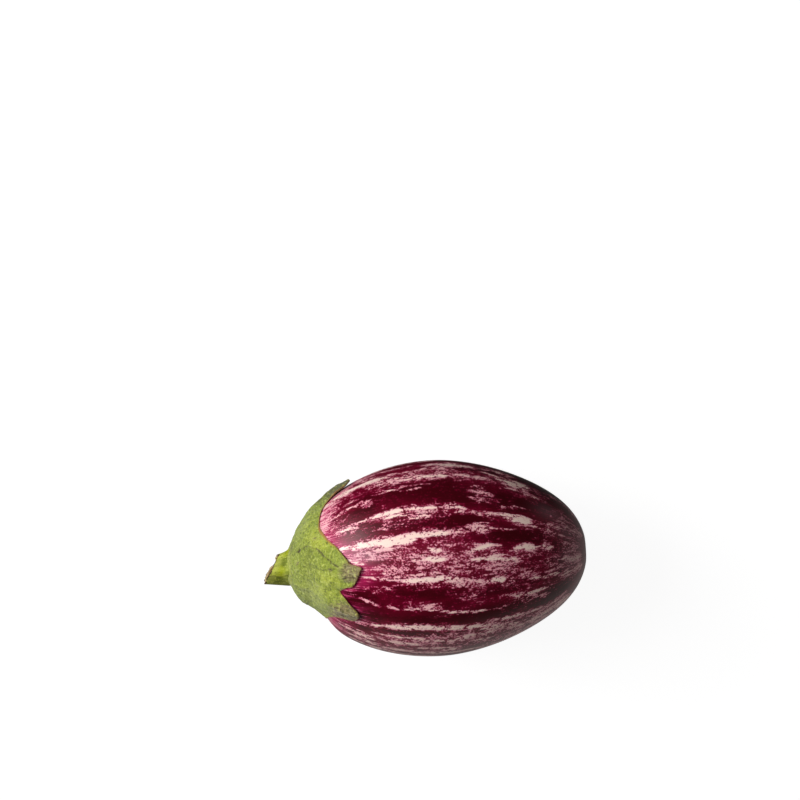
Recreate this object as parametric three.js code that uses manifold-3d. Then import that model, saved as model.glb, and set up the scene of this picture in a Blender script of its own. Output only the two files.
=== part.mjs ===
// A striped eggplant, as picked, lying on its side: an egg-shaped fruit, the five-lobed calyx that
// hugs its shoulder, and the short cut stem that stands in the middle of the calyx.
// Millimetres, +Z up. The long axis lies along X, with the stem towards -X. The origin is the
// middle of the small flat spot that the fruit rests on, straight below its widest ring.

import * as THREE from "three";
import { mergeVertices } from "three/addons/utils/BufferGeometryUtils.js";
import Module from "manifold-3d";

const wasm = await Module();
wasm.setup();

const degree = Math.PI / 180;

// The fruit, measured from its widest ring
const fruitRadius = 35.1;
const fruitHeightShare = 0.97; // height over width
const shoulderLength = 49.7; // to the stem pole
const blossomLength = 54.7; // to the blossom pole
const blossomTaper = 0.16; // how much slimmer than an ellipse the blossom half is
const flankPolar = 30 * degree; // the shoulder's -Y flank is flattened here, down from the stem pole
const flankSpread = 9 * degree;
const flankSlim = 1.3; // off the radius there
const flankShift = 2.1; // and sideways, towards +Y
const ribHeight = 0.4; // faint ribs between the lobes of the calyx
const ribCount = 5;
const ribTurn = 20 * degree;
const scarDepth = 0.7; // the blossom scar is a dimple in the far pole
const scarRadius = 3;
const axisHeight = 33.5; // a little under the fruit's half height, which leaves the flat spot
const fruitColumns = 48;
const fruitRows = 28;

// The calyx: the corners of its margin, each by its turn round the fruit from the top towards +Y
// and by how far down from the stem pole it reaches, in degrees
const calyxMargin = [
  [-89, 36], // notch
  [-74, 37],
  [-60, 39.2],
  [-48, 44.4],
  [-44.5, 48.5],
  [-42.5, 53],
  [-39, 55.5],
  [-35, 56.5], // blunt tip
  [-31.5, 55],
  [-27, 51.6],
  [-22.8, 49],
  [-19.2, 47], // shallow notch
  [-16.8, 48.4],
  [-14.5, 51],
  [-13, 54],
  [-8, 56.6], // broad torn tip
  [-4, 58],
  [-0.6, 59], // its sharp corner
  [1.4, 56],
  [2.4, 53.6],
  [5.5, 52],
  [10.2, 49.4],
  [16.2, 46.4],
  [21.8, 42.4],
  [29.2, 38.8],
  [37, 36.3], // wide notch
  [44.5, 36.2],
  [52, 36.8],
  [59, 38.2],
  [65.5, 40],
  [69, 43],
  [71.5, 46],
  [73, 49.5],
  [74, 52.5],
  [76, 54.6],
  [80, 55.5], // tip
  [85, 54.5],
  [89.5, 51],
  [95, 46.5],
  [102, 41.5],
  [110, 38],
  [119, 36], // notch
  [135, 40],
  [148, 48],
  [156, 54], // tip
  [164, 49],
  [178, 40],
  [192, 36.5], // notch
  [203, 40.5],
  [214, 48],
  [223, 55], // tip
  [232, 49],
  [244, 40],
  [257, 36],
];
const calyxThickness = 1.7;
const marginThickness = 1.1;
const marginSharpness = 6; // how close to the margin the thinning starts
const collarThickness = 3.4; // round the stem
const collarSpread = 22 * degree; // how far out the collar's swelling reaches
const tipLift = 0.6; // the tips stand off the skin by this much
const fitGap = 0.35; // between touching pieces
const collarLean = 0.9; // the collar leans in by this much as it rises, so its hole stays straight
const calyxColumns = 112;
const calyxOuterRows = 8;
const calyxInnerRows = 5;

// The stem
const stemRootRadius = 6.8;
const stemEndRadius = 5.2;
const stemEnd = 59.2; // from the widest ring to the middle of the cut
const stemBend = -0.5; // sideways, at the cut
const stemFlutes = 5;
const fluteDepth = 0.3;
const fluteShare = 1 / 3; // the flutes reach their depth this far up the stem
const cutSlopeY = 0.58; // the cut is oblique: its +Y side is nearer the fruit
const cutSlopeZ = 0.14; // and so is its top
const stemColumns = 20;
const stemRows = 7;

// The point of the fruit's skin at a turn round its axis and a polar angle down from the stem pole
function fruitPoint(turn, polar) {
  const along = Math.cos(polar);
  const across = Math.sin(polar);
  const shoulder = along > 0;
  const rib = ribHeight * Math.cos(ribCount * turn + ribTurn) * (2 * along * across) ** 2;
  const flank = Math.exp(-(((polar - flankPolar) / flankSpread) ** 2));
  const taper = blossomTaper * (along * across) ** 2;
  const radius = fruitRadius * across * (shoulder ? 1 : 1 - taper) + (shoulder ? rib : 0) - flankSlim * flank;
  const dimple = shoulder ? 0 : scarDepth * Math.exp(-((radius / scarRadius) ** 2));
  return new THREE.Vector3(
    -along * (shoulder ? shoulderLength : blossomLength) - dimple,
    radius * Math.sin(turn) + flankShift * flank,
    radius * Math.cos(turn) * fruitHeightShare,
  );
}

// The point a given height above the skin, square to it
function abovePoint(turn, polar, height) {
  const step = 1e-3;
  const here = fruitPoint(turn, polar);
  const round = fruitPoint(turn + step, polar).sub(fruitPoint(turn - step, polar));
  const down = fruitPoint(turn, polar + step).sub(fruitPoint(turn, polar - step));
  return here.addScaledVector(down.cross(round).normalize(), height);
}

// One closed surface over a list of rings, whose points run the same way round. The ends are closed
// by a point each, or the last ring is joined to the first.
function skinOver(rings, ends) {
  const columns = rings[0].length;
  const points = rings.flat();
  const triangles = [];
  const bands = ends ? rings.length - 1 : rings.length;
  for (let row = 0; row < bands; row++) {
    const near = row * columns;
    const far = ((row + 1) % rings.length) * columns;
    for (let column = 0; column < columns; column++) {
      const next = (column + 1) % columns;
      triangles.push(near + column, far + column, near + next);
      triangles.push(near + next, far + column, far + next);
    }
  }
  if (ends) {
    const last = (rings.length - 1) * columns;
    points.push(...ends);
    for (let column = 0; column < columns; column++) {
      const next = (column + 1) % columns;
      triangles.push(points.length - 2, column, next);
      triangles.push(points.length - 1, last + next, last + column);
    }
  }
  return new THREE.BufferGeometry().setFromPoints(points).setIndex(triangles);
}

function solidOf(geometry) {
  const bare = geometry.clone();
  bare.deleteAttribute("normal");
  bare.deleteAttribute("uv");
  const merged = mergeVertices(bare);
  return new wasm.Manifold(
    new wasm.Mesh({
      numProp: 3,
      vertProperties: merged.attributes.position.array,
      triVerts: new Uint32Array(merged.index.array),
    }),
  );
}

function geometryOf(solid) {
  const mesh = solid.getMesh();
  return new THREE.BufferGeometry()
    .setAttribute("position", new THREE.BufferAttribute(mesh.vertProperties, 3))
    .setIndex(new THREE.BufferAttribute(mesh.triVerts, 1));
}

// The fruit, with its underside cut flat where it rests
function fruitGeometry() {
  const rings = [];
  for (let row = 1; row < fruitRows; row++) {
    const polar = (Math.PI * row) / fruitRows;
    const ring = [];
    for (let column = 0; column < fruitColumns; column++)
      ring.push(fruitPoint((2 * Math.PI * column) / fruitColumns, polar));
    rings.push(ring);
  }
  const whole = skinOver(rings, [fruitPoint(0, 0), fruitPoint(0, Math.PI)]);
  const tableSide = 2 * fruitRadius;
  const table = new THREE.BoxGeometry(tableSide, tableSide, tableSide);
  table.translate(0, 0, -axisHeight - tableSide / 2);
  return geometryOf(solidOf(whole).subtract(solidOf(table)));
}

// The margin as a smooth closed line through its corners, in evenly spaced points, each given by its
// turn and polar angle
function marginPoints() {
  const corners = calyxMargin.map(([turn, reach]) => fruitPoint(turn * degree, reach * degree));
  const line = new THREE.CatmullRomCurve3(corners, true, "centripetal");
  return line.getSpacedPoints(calyxColumns).slice(1).map((point) => ({
    turn: Math.atan2(point.y, point.z / fruitHeightShare),
    polar: Math.acos(-point.x / shoulderLength),
  }));
}

// The calyx: a cap of even thickness over the shoulder, thicker round the stem and thinner at its
// margin, with a plain hole for the stem
function calyxGeometry() {
  const margin = marginPoints();
  const firstTurn = calyxMargin[0][0] * degree;
  const reaches = calyxMargin.map(([, reach]) => reach * degree);
  const shallowest = Math.min(...reaches);
  const deepest = Math.max(...reaches);
  const ringAt = (share, holeRadius, height) =>
    margin.map((end, column) => {
      const evenTurn = firstTurn + (2 * Math.PI * (column + 1)) / calyxColumns;
      const sideways = Math.atan2(Math.sin(end.turn - evenTurn), Math.cos(end.turn - evenTurn));
      const turn = evenTurn + sideways * Math.sqrt(share);
      const start = Math.asin(holeRadius / fruitRadius);
      const polar = start + (end.polar - start) * share;
      const towardsTip = Math.max(0, (polar - shallowest) / (deepest - shallowest));
      return abovePoint(turn, polar, fitGap + tipLift * towardsTip ** 2 + height(polar, share));
    });
  const outerHeight = (polar, share) => {
    const swelling = Math.exp(-((polar / collarSpread) ** 2));
    const body = calyxThickness + (collarThickness - calyxThickness) * swelling;
    return body + (marginThickness - body) * share ** marginSharpness;
  };
  const holeRadius = stemRootRadius + fitGap;
  const rings = [];
  for (let row = 0; row <= calyxOuterRows; row++)
    rings.push(ringAt(row / calyxOuterRows, holeRadius - collarLean, outerHeight));
  for (let row = calyxInnerRows; row >= 0; row--)
    rings.push(ringAt(row / calyxInnerRows, holeRadius, () => 0));
  return skinOver(rings, null);
}

// The stem: a plain root in the calyx's hole, then a fluted stub that tapers to the oblique cut
function stemGeometry() {
  const foot = shoulderLength + fitGap;
  const ringAt = (share) => {
    const ring = [];
    for (let column = 0; column < stemColumns; column++) {
      const turn = (2 * Math.PI * column) / stemColumns;
      const flute = fluteDepth * Math.cos(stemFlutes * turn) * Math.min(1, share / fluteShare);
      const radius = stemRootRadius + (stemEndRadius - stemRootRadius) * share + flute;
      const y = radius * Math.sin(turn) + stemBend * share ** 2;
      const z = radius * Math.cos(turn) * fruitHeightShare;
      const cut = stemEnd - cutSlopeY * y - cutSlopeZ * z;
      ring.push(new THREE.Vector3(-(foot + (cut - foot) * share), y, z));
    }
    return ring;
  };
  const rings = [];
  for (let row = stemRows; row >= 0; row--) rings.push(ringAt(row / stemRows));
  return skinOver(rings, [new THREE.Vector3(-stemEnd, stemBend, 0), new THREE.Vector3(-foot, 0, 0)]);
}

function piece(name, geometry, color, roughness) {
  const material = new THREE.MeshStandardMaterial({ color, roughness, metalness: 0 });
  const mesh = new THREE.Mesh(geometry, material);
  mesh.name = name;
  return mesh;
}

const eggplant = new THREE.Group();
eggplant.position.z = axisHeight;
eggplant.add(
  piece("fruit", fruitGeometry(), 0x64123c, 0.25),
  piece("calyx", calyxGeometry(), 0x8d9a52, 0.8),
  piece("stem", stemGeometry(), 0x7f8e34, 0.6),
);

export default eggplant;
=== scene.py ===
import bpy
import numpy as np
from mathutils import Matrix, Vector


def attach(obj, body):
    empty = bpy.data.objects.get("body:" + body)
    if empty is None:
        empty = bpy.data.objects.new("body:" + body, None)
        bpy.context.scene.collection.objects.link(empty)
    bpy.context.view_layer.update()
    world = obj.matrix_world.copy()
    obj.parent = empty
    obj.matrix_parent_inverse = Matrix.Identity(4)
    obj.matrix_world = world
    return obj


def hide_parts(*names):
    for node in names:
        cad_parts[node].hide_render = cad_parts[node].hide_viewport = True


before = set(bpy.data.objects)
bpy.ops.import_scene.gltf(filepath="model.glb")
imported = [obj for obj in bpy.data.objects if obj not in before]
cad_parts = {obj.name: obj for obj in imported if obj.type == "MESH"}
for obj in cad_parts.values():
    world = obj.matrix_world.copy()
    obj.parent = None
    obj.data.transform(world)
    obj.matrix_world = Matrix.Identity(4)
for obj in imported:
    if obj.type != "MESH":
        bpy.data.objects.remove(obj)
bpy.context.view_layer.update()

mm = 0.001
degree = np.pi / 180

print("eggplant: shared tools")


def softNoise(points, size, seed):
    # Random values on a cubic lattice of cells of the given size, blended smoothly between the eight corners.
    # The lattice repeats after its side.
    side = 32
    lattice = np.random.default_rng(seed).uniform(-1, 1, (side, side, side))
    place = points / size
    cell = np.floor(place).astype(int)
    part = place - cell
    part = part * part * (3 - 2 * part)
    total = np.zeros(points.shape[:-1])
    for corner in np.ndindex(2, 2, 2):
        weight = np.prod(np.where(corner, part, 1 - part), axis=-1)
        index = (cell + corner) % side
        total += weight * lattice[index[..., 0], index[..., 1], index[..., 2]]
    return total


def layeredNoise(points, layers):
    # The sum of soft noises, each given by its weight, size and seed
    return sum(weight * softNoise(points, size, seed) for weight, size, seed in layers)


def wrapped(angle):
    # The same angle between minus and plus half a circle
    return (angle + np.pi) % (2 * np.pi) - np.pi


def smoothStep(value, low, high):
    # 0 below low, 1 above high, and an S-curve between them
    share = np.clip((value - low) / (high - low), 0, 1)
    return share * share * (3 - 2 * share)


def addSurface(name, points, fields, closed=False):
    # Rows of points, each a ring: neighbours are joined by quads. A closed surface joins its last ring to
    # its first. An open one gets a pole at each end, at the mean of the end ring. The fields are numbers or
    # vectors at the same points, kept for the material.
    rows, columns = points.shape[:2]
    index = np.arange(rows * columns).reshape(rows, columns)
    near = index if closed else index[:-1]
    far = np.roll(index, -1, axis=0) if closed else index[1:]
    quads = np.stack([near, far, np.roll(far, -1, axis=1), np.roll(near, -1, axis=1)], axis=-1).reshape(-1, 4)
    triangles = np.zeros((0, 3), int)
    if not closed:
        ring, nextInRing = np.arange(columns), np.roll(np.arange(columns), -1)
        last = (rows - 1) * columns
        startPole = np.full(columns, rows * columns)
        triangles = np.concatenate([
            np.stack([startPole, ring, nextInRing], axis=-1),
            np.stack([startPole + 1, last + nextInRing, last + ring], axis=-1),
        ])

    def perVertex(values):
        flat = values.reshape(rows * columns, -1)
        if closed:
            return flat
        return np.concatenate([flat, flat[:columns].mean(axis=0)[None], flat[-columns:].mean(axis=0)[None]])

    corners = (perVertex(points) + (0, 0, fruit["axisHeight"])) * mm
    mesh = bpy.data.meshes.new(name)
    mesh.vertices.add(len(corners))
    mesh.vertices.foreach_set("co", corners.ravel())
    loops = np.concatenate([quads.ravel(), triangles.ravel()])
    mesh.loops.add(len(loops))
    mesh.loops.foreach_set("vertex_index", loops)
    starts = np.concatenate([4 * np.arange(len(quads)), quads.size + 3 * np.arange(len(triangles))])
    mesh.polygons.add(len(starts))
    mesh.polygons.foreach_set("loop_start", starts)
    mesh.update(calc_edges=True)
    mesh.shade_smooth()
    for fieldName, values in fields.items():
        flat = perVertex(values)
        vector = flat.shape[1] == 3
        attribute = mesh.attributes.new(fieldName, "FLOAT_VECTOR" if vector else "FLOAT", "POINT")
        attribute.data.foreach_set("vector" if vector else "value", flat.ravel())
    piece = bpy.data.objects.new(name, mesh)
    bpy.context.scene.collection.objects.link(piece)
    return piece


def paint(red, green, blue):
    # A colour as seen on a screen, 0 to 255, turned into the linear values that shaders take
    screen = np.array([red, green, blue]) / 255
    linear = np.where(screen <= 0.04045, screen / 12.92, ((screen + 0.055) / 1.055) ** 2.4)
    return (*linear, 1)


class Finish:
    # A material with short ways to add the nodes used here. A value given to a node is a number, a colour
    # or another node's output.
    def __init__(self, name):
        self.material = bpy.data.materials.new(name)
        self.material.use_nodes = True
        self.tree = self.material.node_tree
        self.shader = self.tree.nodes["Principled BSDF"]

    def give(self, socket, value):
        if isinstance(value, bpy.types.NodeSocket):
            self.tree.links.new(value, socket)
        else:
            socket.default_value = value

    def node(self, kind, values=(), **settings):
        made = self.tree.nodes.new(kind)
        for key, setting in settings.items():
            setattr(made, key, setting)
        for slot, value in dict(values).items():
            self.give(made.inputs[slot], value)
        return made

    def field(self, name):
        # One of the piece's own fields, a number at each point
        return self.node("ShaderNodeAttribute", attribute_name=name).outputs["Fac"]

    def place(self, name):
        # The point in the object's own metres, or one of the piece's vector fields
        if name == "Object":
            return self.node("ShaderNodeTexCoord").outputs["Object"]
        return self.node("ShaderNodeAttribute", attribute_name=name).outputs["Vector"]

    def math(self, operation, first, second, third=0.0):
        values = {0: first, 1: second, 2: third}
        return self.node("ShaderNodeMath", values, operation=operation).outputs[0]

    def plus(self, total, *terms):
        # The total plus each term's value times its weight
        for value, weight in terms:
            total = self.math("MULTIPLY_ADD", value, weight, total)
        return total

    def noises(self, grains):
        # Fractal noises by name, which swing about 0. Each is given by its place, how many grains there are
        # to a unit of it, detail, roughness and distortion.
        made = {}
        for name, (place, factors, detail, roughness, distortion) in grains.items():
            stretch = {0: self.place(place), 1: factors}
            stretched = self.node("ShaderNodeVectorMath", stretch, operation="MULTIPLY").outputs[0]
            noise = self.node("ShaderNodeTexNoise", {
                "Vector": stretched, "Scale": 1.0, "Detail": detail, "Roughness": roughness,
                "Distortion": distortion,
            })
            made[name] = self.math("SUBTRACT", noise.outputs[0], 0.5)
        return made

    def range(self, value, low, high, start=0.0, end=1.0):
        # An S-curve from start, where the value is low, to end, where it is high
        values = {"Value": value, "From Min": low, "From Max": high, "To Min": start, "To Max": end}
        return self.node("ShaderNodeMapRange", values, interpolation_type="SMOOTHSTEP").outputs[0]

    def mix(self, share, first, second):
        # From the first colour, where the share is 0, to the second, where it is 1
        values = {0: share, 6: first, 7: second}
        return self.node("ShaderNodeMix", values, data_type="RGBA").outputs[2]

    def bump(self, height, strength, distance):
        # The surface tilted as if the height stood out, where 1 is as high as the distance in millimetres
        values = {"Height": height, "Strength": strength, "Distance": distance * mm}
        return self.node("ShaderNodeBump", values).outputs[0]

    def finish(self, **sockets):
        # The sockets of the surface, named with an underscore for each space
        for name, value in sockets.items():
            self.give(self.shader.inputs[name.replace("_", " ")], value)
        return self.material


# The fruit, measured from the middle of its widest ring. A turn is the angle round the long axis, from the
# top towards +Y. A polar angle is 0 at the stem pole, 90 at the widest ring and 180 at the blossom pole.
fruit = {
    "radius": 35.1,
    "heightShare": 0.97,
    "shoulderLength": 49.7,
    "blossomLength": 54.7,
    "blossomTaper": 0.16,
    "flankPolar": 30,
    "flankSpread": 9,
    "flankSlim": 1.3,
    "flankShift": 2.1,
    "ribHeight": 0.4,
    "ribCount": 5,
    "ribTurn": 20,
    "scarDepth": 0.9,
    "scarRadius": 2.6,
    "dents": [(0.14, 17, 3)],  # a layer of noise: depth, size and seed
    "blanched": (37, 44),  # the polar angles between which the paler skin under the calyx ends
    "roughness": 0.3,
    "gloss": 0.42,
    "bump": (0.12, 0.4),  # strength, and height in millimetres
    "axisHeight": 33.5,
    "columns": 420,
    "rows": 220,
}


def fruitPoint(turn, polar):
    # An ellipse turned round its long axis, longer and slightly slimmer past the widest ring. The shoulder
    # has five low ribs, cosines of the turn, and a flatter flank, a bell of the polar angle. The blossom pole
    # has a dimple, a bell of the distance to the axis.
    along, across = np.cos(polar), np.sin(polar)
    shoulder = along > 0
    ribs = fruit["ribHeight"] * np.cos(fruit["ribCount"] * turn + fruit["ribTurn"] * degree)
    ribs = ribs * (2 * along * across) ** 2
    flank = np.exp(-(((polar / degree - fruit["flankPolar"]) / fruit["flankSpread"]) ** 2))
    slimming = 1 - fruit["blossomTaper"] * (along * across) ** 2
    radius = fruit["radius"] * across * np.where(shoulder, 1, slimming)
    radius = radius + np.where(shoulder, ribs, 0) - fruit["flankSlim"] * flank
    dimple = fruit["scarDepth"] * np.exp(-((radius / fruit["scarRadius"]) ** 2))
    length = np.where(shoulder, fruit["shoulderLength"], fruit["blossomLength"])
    return np.stack([
        -along * length - np.where(shoulder, 0, dimple),
        radius * np.sin(turn) + fruit["flankShift"] * flank,
        radius * np.cos(turn) * fruit["heightShare"],
    ], axis=-1)


def abovePoint(turn, polar, height):
    # The point of the skin moved outwards by the height, square to the skin
    step = 1e-3
    roundSkin = fruitPoint(turn + step, polar) - fruitPoint(turn - step, polar)
    downSkin = fruitPoint(turn, polar + step) - fruitPoint(turn, polar - step)
    outwards = np.cross(downSkin, roundSkin)
    outwards /= np.linalg.norm(outwards, axis=-1, keepdims=True)
    return fruitPoint(turn, polar) + outwards * height[..., None]


# The margin of the calyx: its corners by turn and by how far down from the stem pole they reach
calyxMargin = np.array([
    # the lobe towards -Y, blunt
    (-89, 36), (-74, 37), (-60, 39.2), (-48, 44.4), (-44.5, 48.5), (-42.5, 53), (-39, 55.5), (-35, 56.5),
    (-31.5, 55), (-27, 51.6), (-22.8, 49),
    # the notch and the torn lobe on top, which ends in a sharp corner
    (-19.2, 47), (-16.8, 48.4), (-14.5, 51), (-13, 54), (-8, 56.6), (-4, 58), (-0.6, 59), (1.4, 56),
    (2.4, 53.6), (5.5, 52), (10.2, 49.4), (16.2, 46.4), (21.8, 42.4), (29.2, 38.8),
    # the wide notch and the lobe towards +Y
    (37, 36.3), (44.5, 36.2), (52, 36.8), (59, 38.2), (65.5, 40), (69, 43), (71.5, 46), (73, 49.5),
    (74, 52.5), (76, 54.6), (80, 55.5), (85, 54.5), (89.5, 51), (95, 46.5), (102, 41.5), (110, 38),
    # the two lobes underneath
    (119, 36), (135, 40), (148, 48), (156, 54), (164, 49), (178, 40),
    (192, 36.5), (203, 40.5), (214, 48), (223, 55), (232, 49), (244, 40), (257, 36),
])


def marginReach(turn):
    # How far down the calyx reaches at a turn, read off straight lines from corner to corner
    return np.interp(turn / degree, calyxMargin[:, 0], calyxMargin[:, 1], period=360) * degree


# Streaks of the skin where the pigment is thin: turn and polar angle at the start, the same at the end,
# half width in millimetres, and strength. At 1 a streak is solid cream, and at 0.5 half of it is speckled.
streaks = [
    # the longest streak, from the notch of the calyx along the top
    (13.8, 42, 14, 66, 1.55, 1.2), (13.6, 56, 14.8, 82, 1.7, 1.25), (16.2, 75, 17.2, 94, 1.45, 1.15),
    (17.6, 88, 18.5, 102, 1.5, 0.68), (19.5, 99, 21.5, 108, 1.0, 0.66), (19, 105, 18.6, 110, 1.2, 0.75),
    (20.5, 107, 19.2, 121, 0.4, 0.8), (22.5, 104, 23.5, 110, 0.5, 0.7), (11, 63, 10.5, 77, 0.8, 0.68),
    # patches below it
    (5.8, 50, 2, 59, 0.9, 1.1), (8.2, 86.5, 7.2, 92, 1.15, 1.0), (2.6, 86.5, 2.2, 92.5, 1.5, 1.1),
    (5, 83, 4.5, 88, 0.6, 0.7), (5.6, 102, 9.4, 111, 0.8, 1.0), (8.7, 109, 8.6, 116, 0.6, 0.7),
    (5.2, 119, 7.2, 126, 0.85, 0.9), (7, 122, 6.8, 130.5, 1.3, 1.05), (7.5, 132, 7, 139, 1.6, 0.78),
    (2.5, 77, 2, 87, 0.65, 0.85), (0.8, 104, 0.2, 115.5, 1.1, 1.05), (0, 112, -0.7, 121.5, 0.85, 0.9),
    (2.5, 111, 2.5, 116, 0.6, 0.8), (-1, 116, -2.5, 122, 0.9, 0.7), (24, 64, 23, 79, 0.8, 0.5),
    # the middle streak, which starts at the torn lobe
    (-5.6, 59, -8.2, 69, 0.6, 0.8), (-8.4, 66, -9, 81, 0.55, 0.75), (-9, 77, -9.2, 94, 1.1, 1.25),
    (-9.6, 90, -10.5, 99, 1.0, 0.85), (-6.5, 88, -7, 97, 0.9, 0.6), (-11.5, 94, -13.5, 101, 1.6, 0.68),
    (-10.5, 101, -13.5, 108, 1.4, 0.68), (-12.8, 110, -13.8, 115, 1.35, 1.2),
    (-17, 112, -18, 118, 0.5, 0.55), (-5.5, 98, -6, 105, 0.8, 0.62), (-3.5, 59, -4.5, 75, 0.5, 0.75),
    (-1.5, 64, -2, 74, 0.4, 0.68), (-6.5, 73, -6, 91, 0.45, 0.75), (-17, 128, -19, 142, 0.9, 0.9),
    # the upper streak and its cluster
    (31.8, 59, 33.2, 73, 0.6, 1.05), (33.4, 67, 34.2, 84, 1.25, 1.25), (33.6, 79, 33.2, 91, 0.9, 1.0),
    (30.6, 69, 30.2, 78.5, 0.95, 1.05), (32, 75, 31.8, 82, 0.5, 0.7), (28.4, 81, 28.2, 88, 1.2, 0.95),
    (31, 82, 30.5, 92, 1.3, 0.68), (32.5, 88, 32, 96, 1.2, 0.7), (34.5, 95.5, 32.5, 102, 1.15, 0.85),
    (30.3, 99, 30, 107, 0.6, 0.8), (29.2, 107, 28.8, 113, 1.0, 0.8), (30.2, 110, 30, 119, 0.5, 0.85),
    (29.6, 115, 29.2, 128, 1.1, 1.15), (26, 120, 25.6, 128, 1.3, 1.15), (27.5, 118, 27.2, 127.5, 1.2, 1.15),
    (29, 49, 28.3, 56, 0.95, 1.05), (31.5, 57, 32, 64, 0.5, 0.75), (26.5, 136, 27.5, 145, 1.3, 0.66),
    (24.2, 126, 21.2, 139, 0.45, 0.85), (22, 135, 20, 147, 1.1, 0.62),
    # dashes in the dark band above it
    (50.3, 72, 51.6, 88.5, 0.38, 1.0), (49.3, 66, 50.2, 79, 0.3, 0.8), (47.6, 76, 48.3, 85, 0.4, 0.85),
    (45.6, 55.5, 44.6, 66, 0.8, 0.54), (47.2, 57, 46.6, 64, 0.6, 0.5), (43.6, 44, 46.2, 54.5, 0.65, 1.0),
    (51.2, 52, 50.8, 58, 0.8, 0.62), (50.3, 105.5, 49.8, 108.5, 0.8, 0.7), (45.5, 105, 44, 112.5, 1.5, 0.58),
    (40.6, 104, 40.2, 110, 1.4, 0.54), (38, 106, 37.5, 111, 0.8, 0.5), (36.2, 116, 36, 121, 0.8, 0.6),
    (38.3, 120.5, 38, 127, 0.6, 0.55),
    # the flank towards +Y
    (65.6, 46, 65.4, 71, 1.75, 1.25), (64.5, 39, 65, 51, 1.6, 0.9), (68, 65, 67, 79, 0.9, 0.66),
    (67.3, 77, 66.6, 89, 0.9, 0.7), (61.5, 68, 61, 77, 0.7, 0.72), (58.5, 63, 58.3, 85, 1.0, 0.72),
    (57.8, 79, 58, 90, 1.3, 0.95), (58.8, 87, 58.6, 95.5, 1.5, 1.2), (61.5, 75, 60.5, 89, 0.6, 0.85),
    (56, 69, 55.6, 77, 1.0, 0.62), (68, 87, 67, 98, 1.3, 0.8), (60, 98, 59.8, 112, 1.5, 0.75),
    (67.8, 110, 63.5, 120, 1.0, 1.1), (62.5, 116, 61.5, 129.5, 2.6, 1.0), (65.5, 115, 66, 128, 1.3, 0.95),
    (59, 119, 58.5, 129, 1.4, 0.85), (53.8, 119.5, 52.5, 136, 0.75, 0.7), (73.5, 88, 73.5, 105, 2.6, 0.9),
    (74, 102, 73.5, 114, 1.6, 0.62), (74.5, 115, 73.5, 122, 2.2, 0.85), (76, 58, 76, 82, 1.2, 0.62),
    (70.5, 54, 71, 67, 0.8, 0.6), (73, 44, 74, 63, 0.8, 0.62),
    # dashes between the torn lobe and the next
    (-21.8, 57, -24.6, 63.5, 0.6, 0.64), (-24.4, 62, -26, 66, 0.5, 0.52),
    (-25.4, 69, -27.3, 73.5, 0.75, 0.58), (-19, 51, -20, 55, 0.5, 0.5), (-27.6, 77, -27.2, 83, 0.8, 0.82),
    (-25.6, 80.5, -25.4, 86, 0.8, 0.72), (-26.5, 77, -26, 89, 1.6, 0.6), (-24.5, 86, -24, 91, 0.7, 0.62),
    (-28.6, 87, -32.4, 108, 0.42, 1.05), (-31.2, 95, -32.3, 106, 0.7, 1.15),
    (-32.6, 86, -32.6, 92, 0.35, 0.66), (-33.6, 110, -33.4, 118, 0.5, 0.55),
    (-27.8, 120.5, -28.3, 134, 1.0, 0.95), (-24, 115, -27, 122, 0.7, 0.6), (-31, 128, -36, 136, 1.4, 0.55),
    # the long streak below the lobes
    (-43.8, 53, -42.8, 66, 1.0, 0.68), (-42.4, 63, -41.4, 82, 1.3, 1.2), (-40.6, 78, -41.4, 96, 1.5, 1.25),
    (-42, 92, -45, 108, 1.15, 1.05), (-43, 102, -43.5, 109, 1.0, 0.75), (-43.6, 113.5, -44.6, 122, 1.1, 0.9),
    (-45.5, 118, -48.5, 134, 0.9, 0.75), (-41.5, 106, -42.5, 112, 0.9, 0.66),
    # the flank towards -Y
    (-48, 106, -52.5, 120, 2.3, 0.85), (-50.5, 62, -50.9, 82, 0.52, 1.1), (-52, 78, -53.5, 92, 1.4, 0.78),
    (-51.8, 47, -56.2, 66, 0.27, 1.0), (-54.2, 46, -57.2, 62, 0.27, 1.0), (-56.3, 45, -59.6, 62, 0.8, 1.15),
    (-57, 66, -57.4, 81, 1.3, 0.9), (-64, 50, -64.5, 62, 1.3, 0.9), (-53.5, 90, -54, 101, 2.2, 0.75),
    (-52, 98, -53, 111, 2.2, 0.75), (-59.5, 103, -60, 109, 1.5, 0.85), (-65.5, 91, -65.5, 99, 2.2, 0.75),
    (-62, 81, -62.5, 93, 1.1, 0.85), (-56, 117, -62, 133, 3.2, 0.75), (-60, 129, -64, 149, 4.4, 0.78),
    (-53, 130, -50, 147, 1.6, 0.66), (-66, 58, -69, 82, 1.1, 0.9), (-72, 48, -74, 72, 1.1, 0.9),
    (-70, 78, -72, 107, 1.3, 0.9), (-76, 58, -80, 92, 1.4, 0.85), (-75, 103, -78, 127, 2.6, 0.66),
    (-70, 116, -70, 140, 2.2, 0.62),
    # round the blossom end
    (-6, 145, -12, 162, 2.2, 0.75), (-22, 143, -28, 162, 2.4, 0.66), (30, 148, 34, 164, 1.8, 0.6),
    (70, 140, 76, 160, 2.4, 0.6),
]

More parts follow.
